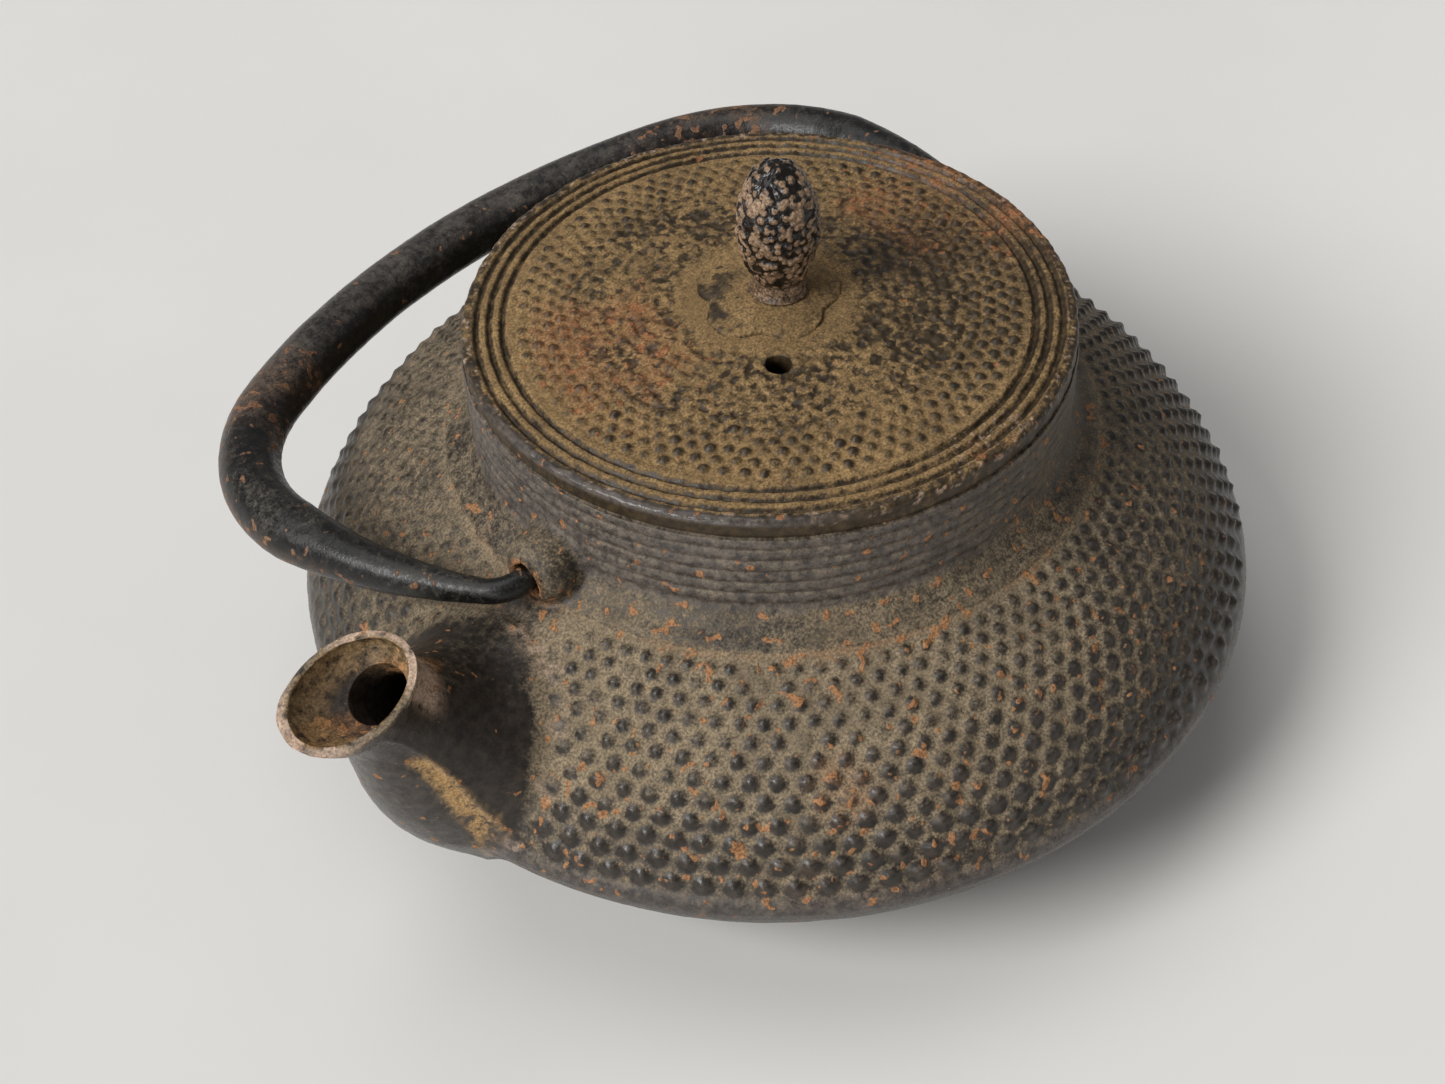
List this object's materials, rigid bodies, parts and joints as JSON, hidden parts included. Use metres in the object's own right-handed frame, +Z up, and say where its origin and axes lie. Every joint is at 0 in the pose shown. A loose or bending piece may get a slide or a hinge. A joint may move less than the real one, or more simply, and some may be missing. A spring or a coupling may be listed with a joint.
{
  "type": "cast iron teapot",
  "caption": "Low round cast iron teapot with a hobnail shoulder, short spout, lift-off lid with a bulb knob, folding bail handle and a slotted tea infuser inside.",
  "frame": {"origin": "centre of the flat base that the pot stands on, on its vertical axis", "axes": "+Z up, +X from the axis towards the spout, so the bail's hinge axis lies along X and the folded bail lies towards -Y"},
  "size_m": [0.1847, 0.1704, 0.1065],
  "materials": {
    "pot_iron": "dark cast iron, dusty olive brown with small rust specks",
    "lid_iron": "cast iron with a tan brown dust and rust bloom",
    "knob_iron": "dark pitted cast iron, half glossy",
    "bail_iron": "black lacquered iron, half glossy with some rust",
    "infuser_steel": "plain stainless sheet"
  },
  "bodies": {
    "pot": {"pot_body": "pot_iron"},
    "lid": {"lid": "lid_iron", "knob_seat": "lid_iron", "lid_knob": "knob_iron", "knob_washer": "knob_iron"},
    "bail": {"bail_handle": "bail_iron"},
    "infuser": {"infuser_collar": "infuser_steel", "infuser_wall": "infuser_steel", "infuser_floor": "infuser_steel"}
  },
  "joints": [
    {"name": "bail_swing", "type": "hinge", "parent": "pot", "child": "bail", "pos_m": [0, 0, 0.0608], "axis": [-1, 0, 0], "range_deg": [0, 194]},
    {"name": "lid_lift", "type": "slide", "parent": "pot", "child": "lid", "axis": [0, 0, 1], "range_m": [0, 0.11]},
    {"name": "infuser_lift", "type": "slide", "parent": "pot", "child": "infuser", "axis": [0, 0, 1], "range_m": [0, 0.055]}
  ],
  "couplings": [
    {"joint": "infuser_lift", "follows": "lid_lift", "ratio": 0.5}
  ]
}
